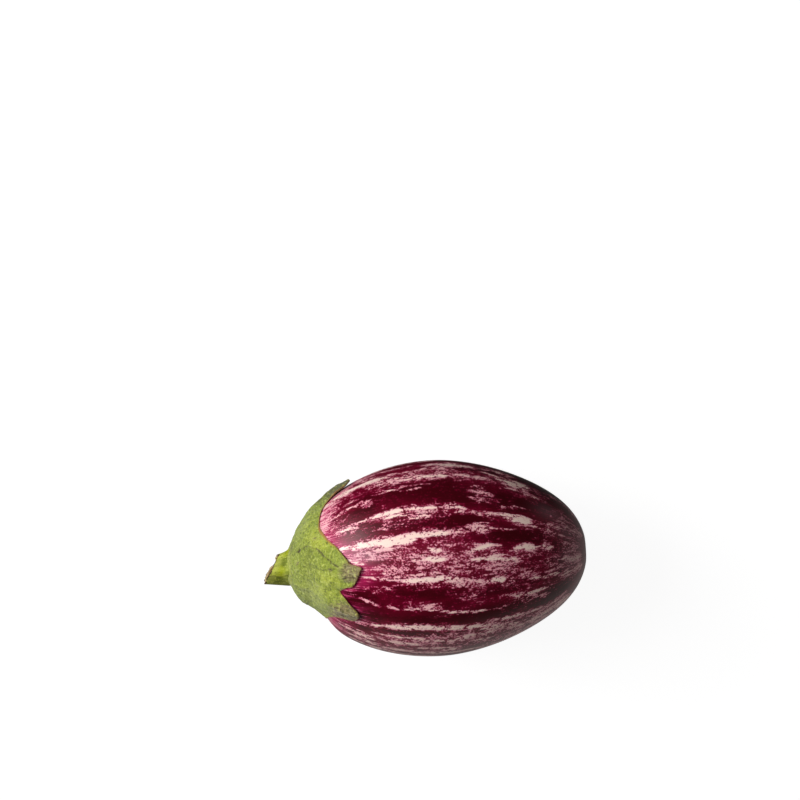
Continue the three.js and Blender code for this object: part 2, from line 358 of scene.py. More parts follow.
# Wider areas: turn and polar angle of the middle, half widths across and along in degrees, and how speckled
speckledAreas = [
    # along the top
    (3, 93, 9, 26, 0.43), (-2, 70, 6, 12, 0.44), (7, 60, 5, 12, 0.5), (-3, 112, 8, 12, 0.48),
    (-12, 122, 8, 13, 0.38), (3, 127, 6, 9, 0.36), (-18, 104, 6, 8, 0.28), (-12, 85, 3, 12, 0.28),
    (-14, 66, 4, 8, 0.22), (27, 74, 5, 12, 0.30), (30, 90, 6, 8, 0.36), (28, 50, 6, 8, 0.36),
    (47, 43, 22, 7, 0.42), (46, 108, 7, 4.5, 0.38),
    # the flank towards +Y
    (60, 46, 7, 7, 0.45), (60, 88, 7, 30, 0.38), (56, 73, 5, 10, 0.32), (72, 48, 8, 12, 0.42),
    # the flank towards -Y
    (-26, 84, 3, 9, 0.32), (-53, 95, 8, 26, 0.48), (-48, 86, 4, 10, 0.2), (-66, 75, 9, 30, 0.17),
    (-66, 125, 12, 20, 0.38), (-62, 47, 12, 6, 0.34),
    # round the blossom end
    (22, 137, 8, 10, 0.34), (-30, 128, 8, 12, 0.32), (60, 132, 12, 10, 0.26), (-12, 140, 20, 10, 0.30),
    (36, 150, 14, 12, 0.36), (4, 152, 18, 9, 0.38),
]

# Bands where the skin is darkest, in the same form
darkBands = [
    # along the top
    (45, 88, 9, 22, 1.0), (42, 100, 8, 14, 1.0), (24, 98, 5, 14, 0.95), (15, 122, 6, 15, 1.0),
    (24, 76, 3.5, 12, 0.4), (53, 96, 3, 10, 0.6), (38, 64, 4, 10, 0.5), (40, 62, 5, 8, 0.7),
    (50, 62, 3, 8, 0.6), (-17, 84, 5, 20, 0.55), (-20, 112, 4, 14, 0.5),
    # the flanks
    (-35, 84, 4.5, 26, 0.95), (-36, 112, 5, 22, 1.0), (-30, 62, 4, 8, 0.5), (-36, 61, 8, 9, 0.9),
    (-22, 56, 9, 10, 1.0), (-47, 58, 3, 9, 0.8), (-46.5, 78, 2.2, 16, 0.9), (-56, 48, 14, 9, 0.6),
    (70, 112, 5, 12, 0.7),
    # round the blossom end
    (40, 124, 9, 16, 0.9), (76, 135, 20, 22, 0.9), (-38, 136, 8, 14, 0.9), (0, 144, 20, 7, 0.4),
    (46, 136, 12, 8, 0.7),
]

# Waxy bloom, which dulls the skin like breath on glass, together with painted sheen: a greyish veil standing
# in for reflected light round the blossom end and beside the highlight near the calyx
bloomAndSheenAreas = [(41, 140, 9, 8, 0.24), (24, 150, 12, 8, 0.2), (7, 60, 5, 9, 0.3), (-10, 150, 16, 8, 0.2),
              (14, 162, 30, 9, 0.2)]

# Streaks of the same kind for the side that faces down, drawn at random. Short ones are narrower.
hiddenStreaks = {
    "seed": 5,
    "count": 150,
    "turns": (84, 276),
    "starts": (36, 150),
    "lengths": (5, 26),
    "usualLength": 20,
    "halfWidths": (0.4, 2.2),
    "strengths": (0.5, 1.2),
    "drift": (-3, 3),  # in turn, from one end to the other
}

# How the streaks wander, in millimetres, and swell, as a share of their width: layers of noise, each by its
# weight, size and seed. The noise is stretched along the fruit.
unevenness = {
    "stretch": 0.45,
    "wander": [(0.3, 3.4, 31), (0.3, 1.4, 32)],
    "swell": [(0.4, 2.38, 33)],
    "endWidth": 0.4,
    "endSoftness": 1.4,
}

alongPerDegree = 0.87  # millimetres along the skin for a degree of polar angle


def hiddenStreakList():
    # Uniform draws between the limits above, in the form of the streaks
    random = np.random.default_rng(hiddenStreaks["seed"])
    kinds = ("turns", "starts", "lengths", "halfWidths", "strengths", "drift")
    drawn = [random.uniform(*hiddenStreaks[kind], hiddenStreaks["count"]) for kind in kinds]
    turns, starts, lengths, halfWidths, strengths, drift = drawn
    halfWidths = halfWidths * np.sqrt(lengths / hiddenStreaks["usualLength"])
    return np.stack([turns, starts, turns + drift, starts + lengths, halfWidths, strengths], axis=-1)


def strokesAt(turns, polars, strokes, softness):
    # The strongest stroke at each point. Sideways a stroke is exp(-(distance / half width)^2), where noise
    # moves its middle line and its width, and the width shrinks to a share at both ends. Past the ends it is
    # exp(-(distance / softness)^2).
    spots = fruitPoint(turns, polars) * (unevenness["stretch"], 1, 1)
    shift = layeredNoise(spots, unevenness["wander"])
    swell = 1 + layeredNoise(spots, unevenness["swell"])
    ends = unevenness["endWidth"]
    level = np.zeros(turns.shape)
    perTurn = fruit["radius"] * np.sin(polars)
    for turn, polar, endTurn, endPolar, halfWidth, strength in strokes:
        share = np.clip((polars / degree - polar) / (endPolar - polar), 0, 1)
        sideways = wrapped(turns - (turn + (endTurn - turn) * share) * degree)
        sideways = np.abs(sideways * perTurn + shift)
        width = halfWidth * swell * (ends + (1 - ends) * np.sqrt(4 * share * (1 - share)))
        fromMiddle = np.abs(polars / degree - (polar + endPolar) / 2)
        beyond = np.maximum(0, fromMiddle - abs(endPolar - polar) / 2)
        past = beyond * alongPerDegree / softness
        level = np.maximum(level, strength * np.exp(-((sideways / width) ** 2) - past ** 2))
    return level


def bellsAt(turns, polars, bells):
    # The highest of some bells, each its height times exp(-((across / width)^2 + (along / width)^2))
    level = np.zeros(turns.shape)
    for turn, polar, across, along, height in bells:
        sideways = wrapped(turns - turn * degree) / degree / across
        lengthways = (polars / degree - polar) / along
        level = np.maximum(level, height * np.exp(-(sideways ** 2 + lengthways ** 2)))
    return level


print("eggplant: fruit")

skinColours = {
    "darkest": paint(62, 0, 10),
    "deep": paint(102, 0, 30),
    "fresh": paint(158, 14, 66),
    "magenta": paint(194, 42, 102),
    "pink": paint(222, 138, 160),
    "cream": paint(247, 219, 207),
    # the greyish pink of waxy bloom and of the painted sheen
    "bloomAndSheen": paint(176, 140, 150),
    "scar": paint(150, 118, 84),
}

# Noise in the skin, along the grain field
skinGrains = {
    "broken": ("grain", (0.42, 0.42, 0.27), 3, 0.6, 0.4),
    "dashes": ("grain", (1.2, 1.2, 0.58), 4, 0.75, 0.4),
    "dots": ("grain", (1.6, 1.6, 1.4), 2, 0.75, 0.2),
    "hairline": ("grain", (1.7, 1.7, 0.07), 3, 0.7, 0.0),
    "pepper": ("grain", (1.5, 1.5, 1.3), 2, 0.6, 0.0),
    "mottle": ("grain", (0.16, 0.16, 0.06), 5, 0.65, 0.4),
}


def makeFruit():
    # The fruit's points, dented softly and flat where it rests. The grain field is a cylinder as wide as the
    # fruit, as long as its profile measured along the skin, so that the pattern follows the skin.
    turn = np.linspace(0, 2 * np.pi, fruit["columns"], endpoint=False)
    polar = np.linspace(0, np.pi, fruit["rows"] + 2)[1:-1]
    turns, polars = np.meshgrid(turn, polar)
    points = abovePoint(turns, polars, layeredNoise(fruitPoint(turns, polars), fruit["dents"]))
    points[..., 2] = np.maximum(points[..., 2], -fruit["axisHeight"])
    profile = fruitPoint(np.zeros(len(polar)), polar)
    steps = np.linalg.norm(np.diff(profile, axis=0, prepend=profile[:1]), axis=-1)
    along = np.cumsum(steps)[:, None] + 0 * turns
    grain = [fruit["radius"] * np.cos(turns), fruit["radius"] * np.sin(turns), along]
    streaksHere = strokesAt(turns, polars, [*streaks, *hiddenStreakList()], unevenness["endSoftness"])
    toAxis = np.hypot(points[..., 1], points[..., 2])
    fields = {
        "grain": np.stack(grain, axis=-1),
        "pale": np.maximum(streaksHere, bellsAt(turns, polars, speckledAreas)),
        "dark": bellsAt(turns, polars, darkBands),
        "bloomAndSheen": bellsAt(turns, polars, bloomAndSheenAreas),
        "beyondCalyx": (polars - marginReach(turns)) / degree * alongPerDegree,
        "blanched": 1 - smoothStep(polars / degree, *fruit["blanched"]),
        "toBlossom": np.where(polars > np.pi / 2, toAxis, fruit["radius"]),
    }
    return addSurface("fruit_skin", points, fields)


def fruitFinish():
    # Paleness from the field plus noise of several grains decides where the pigment breaks up. The same value
    # then runs from purple over magenta and pink to cream, so edges are ragged and half pale areas speckled.
    skin = Finish("striped skin")
    noise = skin.noises(skinGrains)
    pale = skin.field("pale")
    dark = skin.field("dark")
    nearCalyx = skin.range(skin.field("beyondCalyx"), 0, 13, 1.0, 0.0)
    rough = skin.plus(0.0, (noise["dots"], 2.8), (noise["dashes"], 2.9), (noise["broken"], 1.8))
    lively = skin.plus(skin.range(pale, 0.0, 0.35, 0.55, 1.0), (nearCalyx, -0.4))
    amount = skin.plus(
        skin.math("MULTIPLY", pale, skin.plus(1.0, (noise["broken"], 1.9))),
        (rough, lively),
        (noise["hairline"], skin.plus(1.3, (nearCalyx, 3.0))),
        (nearCalyx, 0.05),
        (skin.field("blanched"), 0.5),
        (dark, -0.2),
        (skin.range(noise["pepper"], 0.14, 0.20), -1.1),
        (skin.range(noise["pepper"], -0.26, -0.19, 1.0, 0.0), 0.4),
    )

    depth = skin.plus(dark, (noise["mottle"], 1.8), (noise["dashes"], -1.0))
    purple = skin.mix(skin.range(depth, -0.35, 0.8), skinColours["deep"], skinColours["darkest"])
    fresh = skin.mix(nearCalyx, skinColours["fresh"], skinColours["magenta"])
    lit = skin.math("MULTIPLY", nearCalyx, skin.range(dark, 0.1, 0.8, 0.5, 0.0))
    purple = skin.mix(lit, purple, fresh)
    colour = skin.mix(skin.range(amount, 0.12, 0.40, 0.0, 0.9), purple, fresh)
    colour = skin.mix(skin.range(amount, 0.40, 0.58), colour, skinColours["pink"])
    solid = skin.math("MULTIPLY", skin.range(amount, 0.58, 0.82), skin.range(pale, 0.45, 0.9, 0.4, 1.0))
    colour = skin.mix(solid, colour, skinColours["cream"])
    # waxy bloom and painted sheen, a greyish veil that stands partly for reflected light
    colour = skin.mix(skin.field("bloomAndSheen"), colour, skinColours["bloomAndSheen"])
    scar = skin.range(skin.field("toBlossom"), 1.6, 2.6, 1.0, 0.0)
    colour = skin.mix(scar, colour, skinColours["scar"])
    relief = skin.bump(skin.plus(noise["dashes"], (noise["mottle"], 2.0)), *fruit["bump"])
    return skin.finish(Base_Color=colour, Roughness=fruit["roughness"], Specular_IOR_Level=fruit["gloss"],
                       Normal=relief)


fruitPiece = makeFruit()
fruitPiece.data.materials.append(fruitFinish())
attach(fruitPiece, "root")
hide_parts("fruit")


print("eggplant: calyx")

calyx = {
    "holeRadius": 5.0,
    "thickness": 1.7,
    "notchThickness": 0.45,
    "tipThickness": 0.95,
    "thinning": 7,  # how far from the margin the leaf starts to thin
    "edgeRound": 0.5,
    "collarThickness": 3.4,
    "collarSpread": 22,
    "fillet": 0.8,
    "filletSpread": 1.4,
    "tipRange": (40, 60),  # the polar angles between which the leaf turns from notch to tip
    "tipLift": 0.8,
    "liftNoise": [(0.3, 9, 13)],  # in layers, as below
    "tuck": 0.1,  # the inner face lies this much closer to the skin
    "columns": 720,
    "bodyRows": 60,
    "edgeRows": 16,
    "innerRows": 18,
    "edgeShare": 0.1,  # the part of the way from stem to margin that has the edge's closer rows
    "rowPowers": (1.25, 1.3, 0.7),  # the rows' spacing on the body, at the edge and on the inner face
    "veinHeight": 0.3,
    "veinWidth": 1.1,
    "veinRange": (0.15, 0.4),  # the shares of the way to the tip between which a vein rises
    "wrinkle": 0.2,
    "wrinkleNoise": [(1.0, 2.6, 11), (0.7, 1.3, 12), (0.4, 0.75, 14)],  # weights, sizes and seeds
    "tipWrinkle": 0.6,  # how much more the tips are wrinkled
    "reliefRange": (-1, 2),  # the distances from the stem between which veins and wrinkles rise
    "scratchDepth": 0.2,
    "scratchSoftness": 0.5,
    "fibreRadius": 12,  # of the cylinder on which the fibres are drawn
    "fibrePerRadian": 40,
    "roughness": 0.75,
    "sheen": 0.2,
    "sheenRoughness": 0.5,
    "bump": (0.8, 0.8),
}

# Marks on it, as strokes: turn and polar angle at the start and at the end, half width in millimetres and
# strength
calyxMarks = {
    "scratch": [
        (20.8, 21.0, 20.8, 22.8, 0.75, 1.4), (22.2, 24, 20.2, 28.4, 0.35, 0.6),
        (20.2, 28, 15, 32.6, 0.3, 0.55), (14.5, 35, 8, 41.2, 0.4, 0.95), (8, 40.8, 3.2, 44.4, 0.38, 1.0),
        (3.2, 44, -0.2, 48.6, 0.38, 1.0), (-2.5, 42.6, -2.5, 44.2, 0.7, 1.2),
        (-7.5, 49.5, -6.5, 51.5, 0.6, 1.1), (27, 18, 31, 22, 0.4, 0.4),
    ],
    "paleScratch": [
        (-2.5, 43, -6.8, 46, 0.28, 0.9), (-5.8, 47.8, -6.6, 50, 0.3, 0.9), (-0.2, 47.4, 0.8, 50, 0.3, 0.8),
        (32, 20, 33, 24, 0.3, 0.6), (-12, 26, -12.5, 30, 0.5, 0.5), (-22, 34, -20, 38, 0.5, 0.5),
    ],
}

# Patches in the form of the speckled areas
calyxPatches = {
    "weathered": [
        (-3, 54.5, 8, 6, 1.1), (-40, 50, 13, 9, 1.15), (-50, 45, 12, 6, 0.9), (5, 20, 5, 3, 0.5),
        (27, 33.5, 5, 3, 0.5), (72, 46, 12, 8, 0.3), (156, 52, 10, 6, 0.8), (223, 53, 10, 6, 0.8),
    ],
    # painted shade: the calyx darker olive where less light falls, most on the lobe towards +Y
    "paintedShade": [(78, 50, 13, 9, 1.0), (84, 40, 12, 8, 0.6), (50, 14, 20, 5, 0.4), (0, 30, 26, 9, 0.3)],
    "dusty": [(-42, 30, 26, 14, 1.0), (58, 24, 24, 10, 0.8), (4, 50, 12, 8, 0.6)],
    "sunny": [(20, 36, 9, 7, 0.8), (33, 33, 10, 5, 0.7), (-12, 42, 9, 7, 0.55), (-24, 40, 9, 8, 0.5)],
}

# Where the lobes arch away from the skin, in the same form, in millimetres
calyxArches = [(80, 46.5, 16, 7, 0.8), (-38, 46, 8, 7, 0.3), (156, 45, 12, 7, 0.6), (223, 45, 12, 7, 0.6)]


def closedCurve(corners, count):
    # A centripetal Catmull-Rom curve through the corners, closed: between two corners it blends the straight
    # lines through the four nearest, by knots as far apart as the square root of the distance. It is cut into
    # fine steps, and evenly spaced points are read off their running length.
    finePerCorner = 40
    before, after, afterNext = np.roll(corners, 1, 0), np.roll(corners, -1, 0), np.roll(corners, -2, 0)
    knots = [np.zeros(len(corners))]
    for first, second in [(before, corners), (corners, after), (after, afterNext)]:
        knots.append(knots[-1] + np.linalg.norm(second - first, axis=-1) ** 0.5)
    k0, k1, k2, k3 = [knot[:, None, None] for knot in knots]
    t = k1 + (k2 - k1) * np.linspace(0, 1, finePerCorner, endpoint=False)[None, :, None]
    p0, p1, p2, p3 = [p[:, None, :] for p in (before, corners, after, afterNext)]
    a1 = ((k1 - t) * p0 + (t - k0) * p1) / (k1 - k0)
    a2 = ((k2 - t) * p1 + (t - k1) * p2) / (k2 - k1)
    a3 = ((k3 - t) * p2 + (t - k2) * p3) / (k3 - k2)
    b1 = ((k2 - t) * a1 + (t - k0) * a2) / (k2 - k0)
    b2 = ((k3 - t) * a2 + (t - k1) * a3) / (k3 - k1)
    line = (((k2 - t) * b1 + (t - k1) * b2) / (k2 - k1)).reshape(-1, corners.shape[1])
    loop = np.concatenate([line, line[:1]])
    travelled = np.concatenate([[0], np.cumsum(np.linalg.norm(np.diff(loop, axis=0), axis=-1))])
    wanted = np.linspace(0, travelled[-1], count, endpoint=False)
    return np.stack([np.interp(wanted, travelled, values) for values in loop.T], axis=-1)


def calyxTips():
    # The corners past the middle of the tips' range that reach further than their neighbours
    reach = calyxMargin[:, 1]
    tips = (reach > np.roll(reach, 1)) & (reach > np.roll(reach, -1)) & (reach > np.mean(calyx["tipRange"]))
    return calyxMargin[tips] * degree


def nearestDistance(points, line):
    # From each point to the nearest point of the line, which is taken in parts to save memory
    parts = 30
    nearest = np.full(points.shape[:2], np.inf)
    for part in np.array_split(line, parts):
        away = points[:, :, None, :] - part
        nearest = np.minimum(nearest, np.sqrt((away ** 2).sum(axis=-1)).min(axis=-1))
    return nearest


def makeCalyx():
    # The outer face runs from the stem to the margin and the inner face back. Both meet at the margin, where
    # the thickness follows a quarter of an ellipse of the distance to the margin.
    count = calyx["columns"]
    margin = closedCurve(fruitPoint(calyxMargin[:, 0] * degree, calyxMargin[:, 1] * degree), count)
    endTurns = np.arctan2(margin[:, 1], margin[:, 2] / fruit["heightShare"])
    endPolars = np.arccos(-margin[:, 0] / fruit["shoulderLength"])
    evenTurns = calyxMargin[0, 0] * degree + 2 * np.pi * np.arange(count) / count
    holePolar = np.arcsin(calyx["holeRadius"] / fruit["radius"])

    # Shares of the way from the stem to the margin, with closer rows towards the margin
    bodyPower, edgePower, innerPower = calyx["rowPowers"]
    body = np.linspace(0, 1, calyx["bodyRows"], endpoint=False) ** bodyPower
    body = (1 - calyx["edgeShare"]) * body
    edge = 1 - calyx["edgeShare"] * np.linspace(1, 0, calyx["edgeRows"]) ** edgePower
    inner = np.linspace(1, 0, calyx["innerRows"] + 1)[1:] ** innerPower
    shares = np.concatenate([body, edge, inner])[:, None]
    outerFace = (np.arange(len(shares)) < calyx["bodyRows"] + calyx["edgeRows"])[:, None]
    turns = evenTurns + wrapped(endTurns - evenTurns) * np.sqrt(shares)
    polars = holePolar + (endPolars - holePolar) * shares
    flat = fruitPoint(turns, polars)
    toMargin = nearestDistance(flat, margin)
    fromStem = np.hypot(flat[..., 1], flat[..., 2]) - calyx["holeRadius"]
    tipness = smoothStep(polars / degree, *calyx["tipRange"])

    rounding = np.sqrt(1 - (1 - np.clip(toMargin / calyx["edgeRound"], 0, 1)) ** 2)
    edgeThickness = calyx["notchThickness"] + (calyx["tipThickness"] - calyx["notchThickness"]) * tipness
    inside = smoothStep(toMargin, 0, calyx["thinning"])
    collar = np.exp(-((polars / degree / calyx["collarSpread"]) ** 2))
    thickness = edgeThickness + (calyx["thickness"] - edgeThickness) * inside
    thickness = thickness + (calyx["collarThickness"] - calyx["thickness"]) * collar
    fillet = calyx["fillet"] * np.exp(-fromStem / calyx["filletSpread"])

    # Veins are bells across the line from the stem to each tip, and wrinkles are noise of three sizes
    veins = np.zeros(flat.shape[:2])
    for tipTurn, tipPolar in calyxTips():
        off = np.abs(wrapped(turns - tipTurn)) * fruit["radius"] * np.sin(polars)
        rise = smoothStep(polars / tipPolar, *calyx["veinRange"])
        veins = np.maximum(veins, np.exp(-((off / calyx["veinWidth"]) ** 2)) * rise)
    bumps = layeredNoise(flat, calyx["wrinkleNoise"])
    marks = {name: strokesAt(turns, polars, strokes, calyx["scratchSoftness"])
             for name, strokes in calyxMarks.items()}
    relief = calyx["veinHeight"] * veins + calyx["wrinkle"] * bumps * (1 + calyx["tipWrinkle"] * tipness)
    relief = relief * rounding * smoothStep(fromStem, *calyx["reliefRange"])
    relief = relief - calyx["scratchDepth"] * marks["scratch"]

    lift = calyx["tipLift"] * tipness ** 1.5 * (1 + layeredNoise(flat, calyx["liftNoise"]))
    middle = lift + bellsAt(turns, polars, calyxArches) + thickness / 2
    outer = middle + thickness / 2 * rounding + relief + fillet
    innerHeight = middle - thickness / 2 * rounding - calyx["tuck"]
    points = abovePoint(turns, polars, np.where(outerFace, outer, innerHeight))
    radius = calyx["fibreRadius"]
    fibre = [radius * np.cos(turns), radius * np.sin(turns), polars * calyx["fibrePerRadian"]]
    fields = {
        "toMargin": toMargin,
        "tipness": tipness,
        "fromStem": fromStem,
        **marks,
        **{name: bellsAt(turns, polars, patches) for name, patches in calyxPatches.items()},
        "fibre": np.stack(fibre, axis=-1),
    }
    return addSurface("calyx_leaf", points, fields, closed=True)


calyxColours = {
    "leaf": paint(141, 156, 50),
    "sunny": paint(176, 186, 62),
    "dusty": paint(170, 178, 98),
    "olive": paint(86, 96, 30),
    "down": paint(204, 210, 112),
    "weathered": paint(142, 124, 92),
    "brown": paint(72, 58, 38),
    "fibre": paint(208, 200, 160),
    # the dark olive of the painted shade
    "paintedShade": paint(78, 76, 38),
    "rust": paint(184, 116, 66),
    "stalk": paint(158, 164, 62),
}

# Noise in it, by the piece's own place in metres or along its fibres
calyxGrains = {
    "clouds": ("Object", (160, 160, 160), 4, 0.6, 0.5),
    "blotches": ("fibre", (0.9, 0.9, 1.3), 4, 0.75, 0.3),
    "fine": ("Object", (1100, 1100, 1100), 3, 0.75, 0.0),
    "threads": ("fibre", (2.4, 2.4, 0.4), 4, 0.7, 0.8),
}


def calyxFinish():
    # Green with sunny and dusty patches and with patches of painted shade, darker olive most on the lobe
    # towards +Y, mottled finely light and dark. Towards the tips it weathers to a greyish brown with pale and
    # dark fibres.
    # Scratches are brown or pale, and a rusty line follows the margin, stronger in the notches.
    leaf = Finish("downy green")
    noise = leaf.noises(calyxGrains)
    blotches, threads = noise["blotches"], noise["threads"]
    spotty = leaf.plus(blotches, (threads, 0.5), (noise["fine"], 1.2))
    worn = leaf.plus(leaf.field("weathered"), (threads, 1.4))

    sunny = leaf.range(leaf.plus(leaf.field("sunny"), (noise["clouds"], 1.6)), 0.0, 0.9)
    dusty = leaf.range(leaf.plus(leaf.field("dusty"), (blotches, 1.5)), 0.2, 1.1, 0.0, 0.6)
    stalk = leaf.range(leaf.field("fromStem"), 0.8, 3.5, 0.8, 0.0)
    # painted shade, mixed in as dark olive over the patches of painted shade
    paintedShade = leaf.range(leaf.plus(leaf.field("paintedShade"), (blotches, 0.8)), 0.05, 0.75, 0.0, 0.92)
    weathered = leaf.range(worn, 0.2, 0.75, 0.0, 0.9)
    olive = leaf.range(spotty, 0.02, 0.25, 0.0, 0.85)
    down = leaf.range(spotty, -0.26, -0.03, 0.72, 0.0)
    paleFibre = leaf.math("MULTIPLY", leaf.range(worn, 0.2, 0.8), leaf.range(threads, -0.16, -0.05, 0.4, 0.0))
    brownFibre = leaf.math("MULTIPLY", leaf.range(worn, 0.4, 1.0), leaf.range(threads, -0.04, 0.2))
    brown = leaf.math("MULTIPLY", leaf.math("MAXIMUM", brownFibre, leaf.field("scratch")), 0.95)
    paleScratch = leaf.math("MULTIPLY", leaf.field("paleScratch"), 0.7)
    inNotch = leaf.range(leaf.field("tipness"), 0.0, 0.5, 0.8, 0.25)
    rust = leaf.math("MULTIPLY", leaf.range(leaf.field("toMargin"), 0.1, 0.7, 1.0, 0.0), inNotch)

    colour = calyxColours["leaf"]
    for share, name in [(sunny, "sunny"), (dusty, "dusty"), (stalk, "stalk"), (paintedShade, "paintedShade"),
                        (weathered, "weathered"), (olive, "olive"), (down, "down"), (paleFibre, "fibre"),
                        (brown, "brown"), (paleScratch, "down"), (rust, "rust")]:
        colour = leaf.mix(share, colour, calyxColours[name])
    relief = leaf.bump(leaf.math("MULTIPLY", spotty, -1.0), *calyx["bump"])
    return leaf.finish(Base_Color=colour, Roughness=calyx["roughness"], Sheen_Weight=calyx["sheen"],
                       Sheen_Roughness=calyx["sheenRoughness"], Normal=relief)


calyxPiece = makeCalyx()
calyxPiece.data.materials.append(calyxFinish())
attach(calyxPiece, "root")
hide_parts("calyx")


print("eggplant: stem")

stem = {
    "foot": 49.2,
    "end": 59.2,
    "rootRadius": 6.9,
    "endRadius": 5.2,
    "bend": -0.1,
    "ridges": 5,
    "ridgeTurn": -12,
    "ridgeHeight": 0.45,
    "ridgeRise": 1 / 3,  # the ridges are at their full height this far up
    "crestSharpness": 1.6,
    "underTurn": -120,  # the side in shade
    "flare": 1.4,
    "flareTurn": 80,
    "flareRange": (0.2, 0.85),  # the shares of the height between which the flare ends
    "cutSlopeY": 0.58,
    "cutSlopeZ": 0.14,
    "cutRound": 4.0,  # how much the cut's far corner is rounded
    "cutRoundStart": 0.6,  # and from which share of the radius
    "cutHollow": 0.5,
    "chip": 1.2,  # a bit broken off the cut's lower edge
    "chipY": 1.7,
    "chipWidth": 1.5,
    "chipRange": (-3.5, 4),  # how far down it deepens
    "raggedness": [(0.35, 1.1, 21), (0.21, 0.5, 22)],  # of the cut's edge, in layers of noise
    "raggedOut": (0.55, 1.0),  # where it starts on the face, and on the side
    "raggedUp": (0.93, 1.0),
    "barkRelief": [(0.12, 1.2, 23)],
    "barkStretch": 0.25,
    "barkStart": 0.2,  # how far below the cut the bark's relief is at its full height
    "materialLength": 9,  # the stem's length as its colours measure it, from the cut
    "fibreRadius": 6,
    "roughness": 0.6,
    "bump": (0.5, 0.5),
    "columns": 240,
    "sideRows": 70,
    "faceRows": 30,
}


def makeStem():
    # Rings along the axis: the side flares at one side of the foot, has five ridges that are cosines with
    # narrowed crests, and tapers to the oblique cut, whose far corner is rounded and whose lower edge is
    # chipped. The face's rings shrink to the middle of the cut, a little hollow.
    turn = np.linspace(0, 2 * np.pi, stem["columns"], endpoint=False)
    faceOut = np.linspace(0, 1, stem["faceRows"])[1:] ** 0.8
    shareOut = np.concatenate([faceOut, np.ones(stem["sideRows"])])[:, None]
    shareUp = np.concatenate([np.ones(len(faceOut)), np.linspace(1, 0, stem["sideRows"])])[:, None]
    face = np.arange(len(shareUp))[:, None] < len(faceOut)
    wave = 0.5 + 0.5 * np.cos(stem["ridges"] * (turn - stem["ridgeTurn"] * degree))
    ridge = stem["ridgeHeight"] * (2 * wave ** stem["crestSharpness"] - 1)
    taper = stem["rootRadius"] + (stem["endRadius"] - stem["rootRadius"]) * shareUp
    side = 0.5 + 0.5 * np.cos(turn - stem["flareTurn"] * degree)
    taper = taper + stem["flare"] * side ** 2 * (1 - smoothStep(shareUp, *stem["flareRange"]))
    radius = (taper + ridge * np.minimum(1, shareUp / stem["ridgeRise"])) * shareOut
    y = radius * np.sin(turn) + stem["bend"] * shareUp ** 2
    z = radius * np.cos(turn) * fruit["heightShare"]
    pastRound = np.maximum(0, -y / stem["endRadius"] - stem["cutRoundStart"])
    chip = stem["chip"] * np.exp(-(((y - stem["chipY"]) / stem["chipWidth"]) ** 2))
    cut = stem["end"] - stem["cutSlopeY"] * y - stem["cutSlopeZ"] * z
    cut = cut - stem["cutRound"] * pastRound ** 2 - chip * smoothStep(-z, *stem["chipRange"])
    x = -(stem["foot"] + (cut - stem["foot"]) * shareUp)
    points = np.stack([x, y, z], axis=-1)

    rim = smoothStep(shareOut, *stem["raggedOut"]) * smoothStep(shareUp, *stem["raggedUp"])
    hollow = np.where(face, stem["cutHollow"] * (1 - shareOut ** 2), 0)
    points[..., 0] -= layeredNoise(points, stem["raggedness"]) * rim - hollow
    bark = layeredNoise(points * (stem["barkStretch"], 1, 1), stem["barkRelief"])
    bark = bark * smoothStep(1 - shareUp, 0, stem["barkStart"]) * (1 - face)
    points[..., 1] += bark * np.sin(turn)
    points[..., 2] += bark * np.cos(turn)
    fibre = [stem["fibreRadius"] * np.cos(turn) + 0 * y, stem["fibreRadius"] * np.sin(turn) + 0 * y, x]
    fields = {
        "toCut": (1 - shareUp) * stem["materialLength"] + 0 * y,
        "crest": wave + 0 * y,
        # where the stem gets painted shade, on its side turned from the light
        "under": smoothStep(np.cos(turn - stem["underTurn"] * degree), -0.1, 0.9) + 0 * y,
        "faceShare": np.where(face, shareOut, 2) + 0 * y,
        "fibre": np.stack(fibre, axis=-1),
    }
    return addSurface("stem_stub", points, fields)


stemColours = {
    "bright": paint(150, 160, 22),
    # the olive of the painted shade in the grooves
    "grooveShade": paint(98, 110, 2),
    # the olive of the painted shade underneath, which also darkens the specks
    "under": paint(92, 98, 34),
    "pale": paint(192, 196, 92),
    "leaf": paint(146, 158, 66),
    "bark": paint(62, 42, 30),
    "pith": paint(188, 168, 124),
    "heart": paint(116, 82, 46),
}

# Noise in it, like the calyx's
stemGrains = {
    "threads": ("fibre", (1.3, 1.3, 0.3), 4, 0.7, 0.5),
    "clouds": ("Object", (260, 260, 260), 3, 0.6, 0.0),
    "fine": ("Object", (1500, 1500, 1500), 3, 0.7, 0.0),
}


